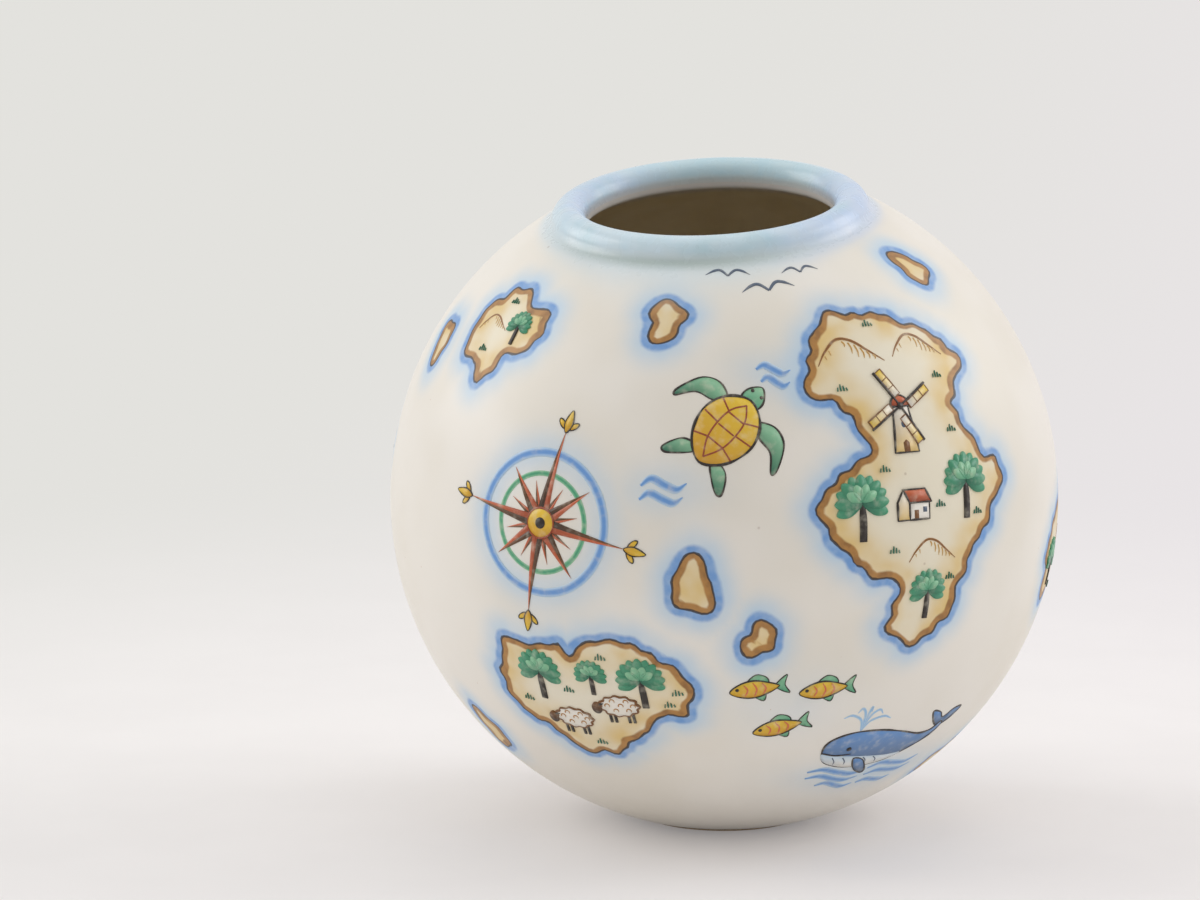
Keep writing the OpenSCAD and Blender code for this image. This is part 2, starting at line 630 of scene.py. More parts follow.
def hill(brush):
    """A rounded hill: its ridge line, with hatching down its shaded side."""
    ridge = curve([(-9, 0), (-6.5, 3.4), (-2.5, 6.6), (1.5, 6.0), (5.5, 3.0), (9.5, 0)])
    brush.stroke(ridge, 0.75, UMBER, BROWN, tips=(0.3, 0.3))
    hatches = ((-1, 6, 1.6), (0.6, 5.5, 3), (2.1, 4.8, 3.4), (3.6, 3.8, 2.8), (5.1, 2.8, 2), (6.6, 1.8, 1.2))
    for x, y, drop in hatches:
        hatch = curve([(x, y), (x + 0.5, y - drop / 2), (x + 0.4, y - drop)])
        brush.stroke(hatch, 0.45, BROWN, OCHRE, tips=(1, 0.2))
    for x, y, drop in ((-6.6, 2.4, 1.0), (-5.2, 3.8, 1.3)):
        brush.stroke([(x, y), (x + 0.3, y - drop)], 0.4, BROWN, OCHRE, tips=(1, 0.2))


def cottage(brush):
    """A small house with a pitched roof."""
    brush.outlined(panel(0, 0, 4.5, 3.4), IVORY, IVORY, 0.35)
    brush.outlined([(-2.6, 0), (0, 0), (0, 3.4), (-1.3, 5.6), (-2.6, 3.4)], OCHRE, IVORY, 0.35)
    brush.outlined([(0, 3.2), (5.0, 3.2), (3.6, 5.7), (-1.3, 5.7)], RUST, CORAL, 0.35, layer=2)
    brush.fill(panel(1, 0, 2, 1.8), UMBER, layer=1)
    brush.fill(panel(3, 1.3, 3.9, 2.3), SLATE, layer=1)


def windmill(brush):
    """A tapered mill tower with four lattice sails."""
    brush.outlined([(-3.2, 0), (3.2, 0), (2.0, 10.5), (-2.0, 10.5)], OCHRE, IVORY, 0.4)
    brush.outlined(arc((0, 10.5), (2.5, 2.6), 0, 180), RUST, CORAL, 0.4, layer=2)
    brush.fill([(-0.8, 0), (0.8, 0), (0.8, 2.2), (0, 2.9), (-0.8, 2.2)], UMBER, layer=1)
    brush.fill(loop((0, 6.4), (0.6, 0.8), 14), SLATE, layer=1)
    for turn in (32, 122, 212, 302):
        sail = brush.moved((0, 10.6), turn, layer=4)
        sail.outlined(panel(0.25, 2.2, 2.1, 9.2), IVORY, YELLOW, 0.28, UMBER)
        sail.stroke([(0, 0), (0, 9.6)], 0.5, DARK, layer=2)
        for y in (4.5, 6.8):
            sail.stroke([(0.25, y), (2.1, y)], 0.22, UMBER, layer=2)
    brush.fill(loop((0, 10.6), 0.8, 16), DARK, layer=8)


def sheep(brush):
    """A woolly grazing sheep."""
    for x in (-2.6, -1.5, 1.5, 2.6):
        brush.stroke([(x, 1.6), (x, -1.6)], 0.6, DARK, layer=0)
    angle = np.linspace(0, math.tau, 60, endpoint=False)
    lobes = 1 + 0.07 * np.cos(11 * angle)
    wool = np.column_stack((4.3 * np.cos(angle) * lobes, 2.9 + 2.6 * np.sin(angle) * lobes))
    brush.outlined(wool, CREAM, IVORY, 0.4, UMBER, layer=1)
    brush.fill(loop((-5.2, 2.2), (1.2, 1.5), 20), DARK, UMBER, layer=3)
    brush.stroke([(-4.6, 3.2), (-3.5, 3.5)], 0.5, DARK, tips=(1, 0.4), layer=4)
    for x, y in ((-2.7, 3.0), (-1.4, 4.2), (-0.9, 1.7), (0.4, 3.1), (1.7, 4.2), (2.0, 1.8), (3.1, 3.0)):
        brush.stroke(arc((x, y), 0.55, -30, 200, 8), 0.28, BROWN, tips=(0.3, 0.8), layer=3)


def turtle(brush):
    """A sea turtle from above, swimming."""
    front = rounded((4.4, 6.6), (8.6, 8.8), (13, 7.0), (15.8, 1.2), (15.2, -0.6), (11.8, 3.2), (7.4, 4.2))
    rear = rounded((3.6, -6.8), (7.0, -7.8), (9.4, -12), (8.2, -13), (5.2, -11), (2.6, -8.4))
    for flipper in (front, mirrored(front), rear, mirrored(rear)):
        brush.outlined(flipper, LEAF_DARK, LEAF_PALE, 0.4)
    brush.outlined(rounded((-2, 8.6), (-2.6, 11.6), (0, 14.4), (2.6, 11.6), (2, 8.6)), LEAF, LEAF_PALE, 0.4)
    for side in (-1, 1):
        brush.fill(loop((side * 1.4, 12.3), 0.45, 12), DARK, layer=2)
    shell = rounded((0, 10), (5.4, 7), (7.6, 1), (5.4, -5.8), (0, -9.6), (-5.4, -5.8), (-7.6, 1), (-5.4, 7))
    brush.outlined(shell, GOLD, YELLOW, 0.6, layer=2)
    spine = np.array(((0, 8.4), (2.2, 5.2), (2.8, 0.8), (2.2, -3.8), (0, -8)))
    bars = [[(-2.4, y), (2.4, y)] for y in (4.4, 0.6, -3.4)]
    ribs = np.array((((2.4, 4.6), (5.6, 6.2)), ((2.8, 0.8), (7.2, 1.2)), ((2.3, -3.4), (5.8, -4.6))))
    for seam in (curve(spine), curve(spine * (-1, 1)), *bars, *ribs * (-1, 1), *ribs):
        brush.stroke(seam, 0.4, RUST, layer=4)


def whale(brush):
    """A whale at the surface, with its spout."""
    fluke = rounded(
        (19, 5.5), (16.4, 8.6), (14.8, 12.6), (18.4, 11.2), (20.6, 8.4),
        (24.4, 10.4), (28, 10), (25.2, 7), (21.4, 5.2),
    )
    chin = [(3, -5.2), (-8, -6.6), (-17, -4.4)]
    body = rounded(
        (-20, 0.6), (-19, 5.2), (-13, 8.6), (-4, 9.2), (5, 7.2), (12.5, 4.4), (17.4, 4.4), (20.4, 6.6),
        (21.4, 5.4), (18.4, 1.8), (12, -1.6), *chin,
    )
    belly = rounded((-19.6, -0.4), (-13, -1.2), (-5, -1.8), (4, -2.6), (9, -2.8), *chin)
    fin = rounded((-8, -2.6), (-4.4, -3.4), (-1.2, -8.4), (-1.8, -10.2), (-5.6, -7.6))
    brush.outlined(fluke, SLATE, BLUE, 0.5)
    brush.outlined(body, SLATE, BLUE, 0.55, layer=2)
    brush.fill(belly, IVORY, HALO, layer=4)
    for k in range(5):
        x = -15.5 + 3.6 * k
        groove = curve([(x, -2.0 - 0.1 * k), (x + 1.4, -3.8), (x + 1.6, -5.2)])
        brush.stroke(groove, 0.35, SLATE, tips=(1, 0.3), layer=5)
    brush.stroke(curve([(-19.6, -0.2), (-15, -1.0), (-10, -0.4)]), 0.5, DARK, tips=(1, 0.4), layer=6)
    brush.fill(loop((-11.6, 1.8), 0.8, 16), DARK, layer=6)
    brush.outlined(fin, SLATE, BLUE, 0.45, layer=6)
    blowhole = (-11, 9.4)
    jet = np.array(((0, 0), (0.3, 0.7), (1, 1), (1.5, 0.8)))
    for reach in ((-5, 6), (-2.4, 8.6), (0.6, 9.2), (3.4, 8), (5.8, 5.4)):
        brush.stroke(curve(blowhole + jet * reach), 0.9, SKY, HALO, tips=(0.5, 0.3), layer=0)


def fish(brush):
    """A small fish with barred sides."""
    tail = rounded((5.6, 0), (9.4, 3.2), (8.4, 0), (9.4, -3.2), steps=4)
    top_fin = rounded((-2, 2.4), (0.6, 4.8), (3.4, 3.6), (3.6, 1.6), steps=4)
    low_fin = rounded((-0.6, -2.4), (1.8, -4.4), (2.6, -2.0), steps=4)
    body = rounded(
        (-7.4, -0.2), (-4.4, 2.2), (-0.4, 3.0), (3.6, 1.8), (6.4, 0.4),
        (6.4, -0.4), (3.6, -1.8), (-0.4, -2.8), (-4.4, -2.2),
    )
    for fin in (tail, top_fin, low_fin):
        brush.outlined(fin, LEAF, LEAF_PALE, 0.3)
    brush.outlined(body, GOLD, YELLOW, 0.4, layer=2)
    for x, half in ((-3.2, 1.9), (-0.6, 2.4), (2.0, 1.9)):
        brush.stroke(curve([(x, half), (x + 0.9, 0), (x, -half)]), 0.5, CORAL, tips=(0.4, 0.4), layer=4)
    brush.fill(loop((-5.2, 0.5), 0.55, 12), DARK, layer=4)


def starfish(brush):
    """A five-armed starfish."""
    star = [
        (radius * math.sin(math.radians(36 * k)), radius * math.cos(math.radians(36 * k)))
        for k, radius in zip(range(10), (6, 2.3) * 5)
    ]
    brush.outlined(rounded(*star, steps=4), RUST, CORAL, 0.4, UMBER)
    for k in range(5):
        arm = brush.moved(turn=72 * k, layer=2)
        for y in (0.8, 2.2, 3.5):
            arm.fill(loop((0, y), 0.36, 10), YELLOW)


def sunburst(brush):
    """A sun with straight and waved rays."""
    for k in range(24):
        ray = brush.moved(turn=15 * k)
        if k % 2:
            ray.fill([(-1.1, 8.4), (1.1, 8.4), (0, 17)], CORAL, YELLOW)
        else:
            path = curve([(0, 8.6), (0.9, 11), (-0.7, 13.4), (0.2, 16)])
            ray.stroke(path, 1.0, GOLD, tips=(1, 0.2))
    brush.outlined(loop((0, 0), 7.6), GOLD, YELLOW, 0.6, RUST, layer=2)
    brush.stroke(loop((0, 0), 5.8, 36), 0.4, CORAL, closed=True, layer=4)


def lighthouse(brush):
    """A banded tower on a rock, with its lantern lit."""
    rock = rounded(
        (-17, -3), (-12, 1.0), (-8, 2.0), (-5, 4.2), (4, 4.0),
        (8, 2.2), (12, 1.6), (18, -3.4), (9, -6), (-7, -6),
    )
    top = 32

    def band(low, high):
        """The tower's outline between two heights."""
        wide, narrow = (4.4 - 0.065 * y for y in (low, high))
        return [(-wide, low), (wide, low), (narrow, high), (-narrow, high)]

    brush.outlined(rock, UMBER, OCHRE, 0.45)
    cracks = ([(-12, -2), (-9, 0.4), (-8.4, -3)], [(-2, 1), (1, 2.4), (3, -2)], [(9, 0), (11, -2), (10, -4)])
    for crack in cracks:
        brush.stroke(curve(crack), 0.5, DARK, tips=(0.5, 0.2), layer=2)
    brush.outlined(band(3.6, top), CREAM, IVORY, 0.5, layer=2)
    for low in (8, 17.5, 27):
        brush.fill(band(low, low + 4.8), RUST, CORAL, layer=3)
    for y in (13.6, 22.8):
        window = rounded((-0.8, y), (-0.8, y + 1.8), (0, y + 2.6), (0.8, y + 1.8), (0.8, y), steps=3)
        brush.fill(window, SLATE, layer=4)
    brush.fill([(-1.1, 3.8), (1.1, 3.8), (1.1, 6.4), (0, 7.3), (-1.1, 6.4)], DARK, layer=4)
    sill, eaves = top + 1.1, top + 4.6
    brush.outlined(panel(-3.6, top, 3.6, sill), SLATE, SLATE, 0.4, layer=4)
    brush.outlined(panel(-1.9, sill, 1.9, eaves), YELLOW, IVORY, 0.4, layer=4)
    for x in (-0.65, 0.65):
        brush.stroke([(x, sill), (x, eaves)], 0.3, DARK, layer=5)
    brush.outlined(arc((0, eaves), (2.7, 3.0), 0, 180), RUST, CORAL, 0.4, layer=6)
    brush.fill(loop((0, top + 8.2), 0.7, 14), GOLD, layer=6)
    for side in (-1, 1):
        for low, high in ((1.0, 0.4), (2.6, 4.0), (4.2, 7.6)):
            beam = [(side * 3.2, top + low), (side * 13, top + high)]
            brush.stroke(beam, 0.9, YELLOW, tips=(0.5, 0.1), layer=0)


# Islands


def island(points):
    """An island's coast round these points, with small bays that crowd in some stretches."""
    outline = spaced(rounded(*points), STROKE_GAP, closed=True)
    gone, length = travelled(outline)
    around = math.tau * gone / length
    shift = np.zeros(len(outline))
    longest = 24
    for wavelength in (longest, 15, 9.5, 6.5):
        count = max(2, round(length / wavelength))
        size = BAYS * (wavelength / longest) ** 0.7
        swell = 0.55 + 0.45 * np.sin(max(2, count // 4) * around + rng.uniform(0, math.tau))
        shift += size * swell * np.sin(count * around + rng.uniform(0, math.tau))
    return outline + sideways(outline, closed=True) * shift[:, None]


def islet(radius):
    """The coast of a small rocky island."""
    angle = np.linspace(0, math.tau, 48, endpoint=False)
    reach = np.full(len(angle), float(radius))
    for lobes in (2, 3, 5):
        reach += radius * 0.42 / lobes * np.cos(lobes * angle + rng.uniform(0, math.tau))
    return np.column_stack((reach * np.cos(angle), reach * np.sin(angle)))


# Materials


class Signal:
    """What a node gives, such as a number or a colour."""

    def __init__(self, shader, socket):
        self.shader = shader
        self.socket = socket

    def beside(self, output):
        """Another output of the same node."""
        return Signal(self.shader, self.socket.node.outputs[output])

    def __add__(self, other):
        return self.shader.calc("ADD", self, other)

    def __mul__(self, other):
        return self.shader.calc("MULTIPLY", self, other)

    def step(self, low, high, least=0.0, most=1.0):
        """A smooth step from one level to another as this goes from low to high."""
        inputs = {"Value": self, "From Min": low, "From Max": high, "To Min": least, "To Max": most}
        return self.shader.add("ShaderNodeMapRange", "Result", inputs, interpolation_type="SMOOTHSTEP")

    def swayed(self, noise, reach):
        """The same, shifted to and fro by a noise."""
        return self + (noise + -0.5) * reach


class Shader:
    """A node material that is put together by short calls. Sizes of textures are in millimetres."""

    def __init__(self, name):
        self.material = bpy.data.materials.new(name)
        self.material.use_nodes = True
        self.tree = self.material.node_tree
        self.surface = self.tree.nodes["Principled BSDF"]
        self.place = self.add("ShaderNodeTexCoord", "Object")

    def add(self, kind, output, inputs=(), **settings):
        """What a new node gives at that output."""
        node = self.tree.nodes.new(kind)
        for name, value in settings.items():
            setattr(node, name, value)
        for socket, value in dict(inputs).items():
            self.feed(node.inputs[socket], value)
        return Signal(self, node.outputs[output])

    def feed(self, socket, value):
        if isinstance(value, Signal):
            self.tree.links.new(value.socket, socket)
        elif socket.type == "RGBA":
            socket.default_value = (*value, 1)
        else:
            socket.default_value = value

    def finish(self, **inputs):
        """Sets the surface's inputs, and gives the material."""
        for name, value in inputs.items():
            self.feed(self.surface.inputs[name.replace("_", " ")], value)
        return self.material

    def value(self, name, output="Fac"):
        """What is stored at the points under this name."""
        return self.add("ShaderNodeAttribute", output, attribute_name=name)

    def noise(self, size, detail=2.0):
        inputs = {"Vector": self.place, "Scale": 1 / (size * MM), "Detail": detail}
        return self.add("ShaderNodeTexNoise", "Fac", inputs)

    def calc(self, operation, first, second=0.0):
        return self.add("ShaderNodeMath", 0, {0: first, 1: second}, operation=operation)

    def mix(self, share, first, second):
        """A blend of two colours, which this node takes at sockets 6 and 7 and gives at output 2."""
        return self.add("ShaderNodeMix", 2, {0: share, 6: first, 7: second}, data_type="RGBA")

    def bump(self, height, depth, strength):
        inputs = {"Height": height, "Distance": depth * MM, "Strength": strength}
        return self.add("ShaderNodeBump", "Normal", inputs)

    def satin(self):
        """The normal of a satin glaze, with its slow waves."""
        return self.bump(self.noise(16, 1) + self.noise(4, 1) * 0.1, 0.35, 0.5)

    def along(self, axis):
        """Place along an axis, in millimetres."""
        return self.add("ShaderNodeSeparateXYZ", axis, {"Vector": self.place}) * (1 / MM)

    def distance(self, axes):
        """Distance from the origin along the axes that are marked by 1, in millimetres."""
        marked = self.add("ShaderNodeVectorMath", 0, {0: self.place, 1: axes}, operation="MULTIPLY")
        return self.add("ShaderNodeVectorMath", "Value", {0: marked}, operation="LENGTH") * (1 / MM)

    def speckled(self, under, colour, size, radius, share, strength):
        """Small dots over a colour, one in some of the cells of a scattered pattern."""
        inputs = {"Vector": self.place, "Scale": 1 / (size * MM)}
        away = self.add("ShaderNodeTexVoronoi", "Distance", inputs)
        pick = self.add("ShaderNodeSeparateColor", 0, {"Color": away.beside("Color")})
        dots = away.step(0.5 * radius / size, radius / size, 1, 0) * pick.step(1 - share, 1.001 - share)
        return self.mix(dots * strength, under, colour)


def sea_glaze(shader, under, strength):
    """Airbrushed blue over another colour, greener in front and behind, with painted shade in the crease at
    the neck's foot and partly on the lip's inner back wall.
    """
    drift = shader.noise(16)
    flank = shader.value("flank").swayed(drift, 0.6)
    sea = shader.mix(flank.step(0.45, 0.9, 0, 0.85), MIST, PERIWINKLE)
    deep = drift.step(0.4, 0.75) * strength.step(0.5, 1)
    # Deeper teal in patches and on the lip's inner back wall, where it is partly the glaze's greener blue and
    # partly painted shade
    deep = shader.calc("MAXIMUM", deep, shader.value("rear"))
    sea = shader.mix(deep * 0.7, sea, TEAL)
    even = shader.noise(5).step(0.2, 0.8, 0.85, 1)
    colour = shader.mix(strength * even, under, sea)
    # Painted shade in the crease at the neck's foot, darkest in front
    return shader.mix(shader.value("pool"), colour, SHADE_GREY)


def globe_glaze():
    """Cream satin glaze, with coasts and washes painted under it and a bare underside."""
    shader = Shader("globe_glaze")
    coast = shader.value("coast")
    drift = shader.noise(13)
    streak = shader.noise(3.2)
    colour = shader.mix(shader.noise(45).step(0.35, 0.65), CREAM, IVORY)
    wash = shader.value("wash") * drift.step(0.2, 0.8, 0.65, 1)
    colour = shader.mix(wash, colour, HALO)
    # Airbrushed sea along the coasts, then the brush stroke beside the coast
    haze = coast.step(*HAZE)
    spray = haze * haze * drift.step(0.25, 0.75, 0.6, 1)
    colour = shader.mix(spray, colour, HALO)
    uneven = coast.swayed(drift, 1.8)
    stroke = uneven.step(*BLUE_OUTER) * uneven.step(*BLUE_INNER, 1, 0)
    colour = shader.mix(stroke * streak.step(0.25, 0.75, 0.6, 0.95), colour, BLUE)
    # Land with an ochre airbrush inside its coast, a brown band of uneven width and a dark line
    ochre = coast.step(*OCHRE_WASH, 1, 0) * drift.step(0.3, 0.7, 0.2, 1)
    land = shader.mix(ochre, LAND, OCHRE)
    shore = shader.mix(streak.step(0.35, 0.75, 0, 0.7), BROWN, UMBER)
    inland = coast.swayed(drift, -3.5)
    land = shader.mix(inland.step(*SHORE, 0.95, 0), land, shore)
    colour = shader.mix(coast.step(*LAND_EDGE), colour, land)
    away = shader.calc("ABSOLUTE", coast).swayed(streak, 0.7)
    colour = shader.mix(away.step(*DARK_LINE, 0.9, 0), colour, DARK)
    # Blue airbrush that runs down from the collar, fine specks, and bare clay round the foot
    neck = shader.value("neck")
    colour = sea_glaze(shader, colour, neck)
    colour = shader.speckled(colour, BROWN, 9, 0.28, 0.35, 0.45)
    colour = shader.speckled(colour, UMBER, 19, 0.7, 0.5, 0.3)
    low = shader.along("Z").step(BASE_Z + 0.5, BASE_Z + 1, 1, 0)
    wiped = shader.distance((1, 1, 0)) + streak
    bare = low * wiped.step(FOOT_R + BARE_W, FOOT_R + BARE_W + 0.5, 1, 0)
    rough = streak.step(0.2, 0.8, 0.36, 0.46) + neck * -0.2
    return shader.finish(
        Base_Color=shader.mix(bare, colour, CLAY),
        Roughness=rough + bare * 0.4,
        Normal=shader.satin(),
    )


def inner_glaze():
    """Thin brownish glaze inside, over the clay, and a grey tint of the collar's glaze under the mouth."""
    shader = Shader("inner_glaze")
    colour = shader.mix(shader.noise(20).step(0.3, 0.7), INNER, INNER_DARK)
    return shader.finish(
        Base_Color=shader.mix(shader.value("throat"), colour, THROAT),
        Roughness=shader.noise(4).step(0.2, 0.8, 0.45, 0.6),
        Normal=shader.bump(shader.noise(6), 0.3, 0.4),
    )


def collar_glaze():
    """Airbrushed blue over the lip, thin on the neck and inside the mouth."""
    shader = Shader("collar_glaze")
    colour = sea_glaze(shader, CREAM, shader.value("blue"))
    colour = shader.mix(shader.value("depth"), colour, THROAT)
    return shader.finish(
        Base_Color=shader.speckled(colour, BROWN, 8, 0.3, 0.3, 0.35),
        Roughness=shader.noise(5).step(0.2, 0.8, 0.22, 0.32),
        Normal=shader.satin(),
    )


def enamel():
    """Brushed enamel in the colour stored at each point, a little uneven as washes are."""
    shader = Shader("enamel")
    pale = shader.noise(2.6, 3).step(0.45, 0.8, 0, 0.3)
    return shader.finish(
        Base_Color=shader.mix(pale, shader.value("paint", "Color"), LAND),
        Roughness=shader.noise(1.5).step(0.2, 0.8, 0.32, 0.44),
        Normal=shader.bump(shader.noise(1.8, 3), 0.12, 0.4),
    )


def bare_clay():
    """Unglazed fired clay with fine grains."""
    shader = Shader("bare_clay")
    grain = shader.noise(1.1, 4)
    colour = shader.mix(grain.step(0.35, 0.7), CLAY, CLAY_DARK)
    return shader.finish(
        Base_Color=shader.speckled(colour, UMBER, 3, 0.3, 0.3, 1),
        Roughness=grain.step(0.3, 0.7, 0.78, 0.92),
        Normal=shader.bump(grain, 0.2, 0.6),
    )


def floor_paper():
    """Plain pale paper, which looks evenly lit away from the vase."""
    shader = Shader("floor_paper")
    direct = shader.add("ShaderNodeLightPath", "Is Camera Ray")
    seen = direct
    for ray in ("Is Glossy Ray", "Is Transmission Ray"):
        seen = shader.calc("MAXIMUM", seen, direct.beside(ray))
    even = seen * shader.distance((1, 1, 1)).step(*EVEN_RUN, 0.25, 1)
    tint = shader.mix(shader.along("X").step(*TINT_RUN), PAPER_LEFT, PAPER_RIGHT)
    glow = shader.add("ShaderNodeEmission", 0, {"Color": tint})
    lit = Signal(shader, shader.surface.outputs[0])
    blend = shader.add("ShaderNodeMixShader", 0, {0: even, 1: lit, 2: glow})
    shader.feed(shader.tree.nodes["Material Output"].inputs["Surface"], blend)
    tone = shader.noise(60, 3).step(0.3, 0.7)
    return shader.finish(Base_Color=shader.mix(tone, PAPER, PAPER_PALE), Roughness=0.8)


# The vase


def coast_field(ways, coasts):
    """Distance to the nearest coast at each direction, positive on land."""
    field = np.full(len(ways), -COAST_REACH)
    for chart, outline in coasts:
        flat = chart.flat(ways)
        near = np.linalg.norm(flat, axis=1) < np.linalg.norm(outline, axis=1).max() + COAST_REACH
        field[near] = np.maximum(field[near], inside_distance(flat[near], outline))
    return field


def wash_field(ways, washes):
    """Strength of the blue washes at each direction: soft spots, or soft rings where a radius is given."""
    field = np.zeros(len(ways))
    for chart, middle, radius, spread, strength in washes:
        away = np.linalg.norm((chart.flat(ways) - middle) / spread, axis=1) - radius / np.max(spread)
        field = np.maximum(field, strength * np.exp(-away ** 2))
    return field


def frontness(level):
    """How far directions square to the mouth point to the front, from 0 at the flanks to 1."""
    return np.clip(-level @ REAR, 0, 1) ** 3


def flankness(level, left):
    """How far directions square to the mouth point to either side, with the left side weighted by a share."""
    across = level @ SIDE
    return np.where(across > 0, across, -left * across)


def throat_section():
    """Section of the hole under the collar, from the collar's seat over a soft edge into the hollow."""
    edge_out = MOUTH_R + THROAT_EDGE
    edge_mid = np.array((edge_out, math.sqrt((HOLLOW_R + THROAT_EDGE) ** 2 - edge_out ** 2)))
    inward = 180 + math.degrees(math.atan2(edge_mid[1], edge_mid[0]))
    return np.vstack(((MOUTH_R, NECK_UP), arc(edge_mid, THROAT_EDGE, 180, inward, THROAT_STEPS)))


def painted_globe(coasts, washes):
    """Both halves of the globe and the flat back, as one hollow wall with its painting."""
    throat = throat_section()
    outer_top = math.asin(NECK_R / GLOBE_R)
    inner_top = math.atan2(*throat[-1])
    outer_ways = ring_ways(outer_top, OUTER_ROWS)
    inner_ways = ring_ways(inner_top, INNER_ROWS)[COLUMNS:]
    outer = cut_sphere(outer_ways, GLOBE_R, OUTER_FLATS)[0]
    inner = np.vstack((turned(throat), cut_sphere(inner_ways, HOLLOW_R, INNER_FLATS)[0]))
    start = len(outer)
    faces = bowl_faces(0, OUTER_ROWS)
    outside = len(faces)
    faces += [face[::-1] for face in bowl_faces(start, len(throat) + INNER_ROWS - 1)]
    faces += ring_quads(start, 0)
    piece = add_object("painted_globe", CENTRE + np.vstack((outer, inner)), faces)
    sharpen(piece, 0, start)
    below_collar = (np.arccos(outer_ways @ MOUTH) - outer_top) * GLOBE_R
    below_throat = (np.arccos(inner_ways @ MOUTH) - inner_top) * HOLLOW_R
    level = unit(outer_ways - np.outer(outer_ways @ MOUTH, MOUTH))
    front = frontness(level)
    set_values(
        piece,
        coast=coast_field(outer_ways, coasts),
        wash=wash_field(outer_ways, washes),
        neck=NECK_BLUE * np.exp(-(below_collar / (NECK_FADE + FRONT_FADE * front)) ** 2),
        flank=flankness(level, LEFT_TINT),
        # Painted shade in the crease below the collar, strongest in front
        pool=CREASE_SHADE * front * np.exp(-(below_collar / SHADE_DROP) ** 2),
    )
    grey = np.exp(-(below_throat / GREY_FADE) ** 2)
    set_values(piece, start, throat=np.concatenate((np.ones(len(throat) * COLUMNS), grey)))
    piece.data.materials.append(globe_glaze())
    piece.data.materials.append(inner_glaze())
    piece.data.polygons.foreach_set("material_index", [int(i >= outside) for i in range(len(faces))])
    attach(piece, "root")
    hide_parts("lower_shell", "upper_shell", "back_panel")


def collar_section():
    """Section of the collar from the foot of its neck over the lip and down to its seat."""
    way = np.array((NECK_R, NECK_UP)) / GLOBE_R
    along = way @ LIP_MID
    apart = LIP_R ** 2 - GLOBE_R ** 2 + 2 * GLOBE_R * along - LIP_MID @ LIP_MID
    neck_r = apart / (2 * (GLOBE_R - along - LIP_R))
    neck_mid = way * (GLOBE_R + neck_r)
    foot_turn = math.degrees(math.atan2(-way[1], -way[0]))
    lip_turn = math.degrees(math.atan2(*(LIP_MID - neck_mid)[::-1]))
    neck = arc(neck_mid, neck_r, foot_turn % 360, lip_turn % 360, NECK_STEPS)
    lip = arc(LIP_MID, LIP_R, lip_turn % 360 - 180, 180, LIP_STEPS)
    throat = np.linspace((MOUTH_R, LIP_MID[1]), (MOUTH_R, NECK_UP), THROAT_STEPS + 1)
    seat = np.linspace((MOUTH_R, NECK_UP), (NECK_R, NECK_UP), THROAT_STEPS + 1)
    return np.vstack((neck, lip[1:], throat[1:], seat[1:-1]))


def rolled_collar():
    """The rolled lip and its neck, turned about the mouth's axis."""
    section = collar_section()
    rows = len(section)
    faces = []
    for row in range(rows):
        faces += ring_quads((row + 1) % rows * COLUMNS, row * COLUMNS)
    piece = add_object("rolled_collar", CENTRE + turned(section), faces)
    throat_end = NECK_STEPS + LIP_STEPS - 1 + THROAT_STEPS - 1
    sharpen(piece, 0, throat_end * COLUMNS)
    out, up = section.T
    within = out < LIP_MID[0]
    rise = np.clip((up - NECK_UP) / COLLAR_H, 0, 1)
    blue = np.where(within, MOUTH_BLUE + MOUTH_GAIN * rise, NECK_BLUE + LIP_GAIN * rise)
    depth = np.where(within, THROAT_GREY * (1 - rise / GREY_CLIMB), 0)
    # Painted shade in the crease at the neck's foot, strongest in front
    pool = np.where(within, 0, CREASE_SHADE * np.exp(-((up - NECK_UP) / SHADE_RISE) ** 2))
    left = np.interp(out, (MOUTH_R, MOUTH_R + 2 * LIP_R), (1, LEFT_TINT))
    set_values(
        piece,
        blue=np.repeat(np.clip(blue, 0, 1), COLUMNS),
        depth=np.repeat(np.clip(depth, 0, 1), COLUMNS),
        pool=np.outer(pool, frontness(LEVEL)).ravel(),
        flank=np.concatenate([flankness(LEVEL, share) for share in left]),
        # The lip's inner back wall: partly greener glaze, partly painted shade
        rear=np.outer(within, np.clip(LEVEL @ REAR, 0, 1) ** 2).ravel(),
    )
    piece.data.materials.append(collar_glaze())
    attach(piece, "root")
    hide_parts("collar")


# Paintings on the vase, all in one enamel

ENAMEL = enamel()


def painted(name, chart, *motifs):
    """Paints motifs in turn, each given with its brush's place, turn, size and layer."""
    painting = Painting(name, chart)
    for motif, *settings in motifs:
        motif(Brush(painting, *settings))
    painting.finish(ENAMEL)


def scenery(name, chart, hills, trees, tufts, others=()):
    """Paints what stands on an island: hills first, and over them trees, grass and other things."""
    over = [(round_tree, *tree) for tree in trees] + [(tuft, at, 1) for at in tufts] + [*others]
    painted(
        name, chart,
        *[(hill, at, 0, size) for at, size in hills],
        *[(motif, at, 0, size, FRONT) for motif, at, size in over],
    )


# The painted design: where the islands lie and what is drawn round them

MAIN_ISLAND = [
    (-8, 52), (7, 47), (20, 43), (27, 32), (19, 21), (26, 10), (35, 2), (31, -12), (21, -22), (17, -36),
    (5, -48), (-5, -43), (-6, -30), (-17, -22), (-28, -12), (-24, 2), (-12, 9), (-17, 20), (-27, 30),
    (-22, 44),
]
LOW_ISLAND = [
    (-32, 5), (-21, 17), (-6, 14), (4, 20), (18, 16), (29, 5), (24, -7), (12, -10), (6, -20), (-8, -22),
    (-19, -14), (-29, -8),
]
TOP_ISLAND = [(-15, 2), (-9, 11), (3, 13), (14, 7), (15, -3), (6, -8), (-2, -15), (-11, -10)]
# Longitude, latitude and radius of the small islands
ISLETS = (
    (9, -6, 7), (20, -15, 5), (2, 38, 6), (66, 47, 6), (-58, 30, 6), (-48, -40, 7), (84, -48, 7),
    (128, 34, 7), (-128, -44, 6), (146, -40, 6),
)

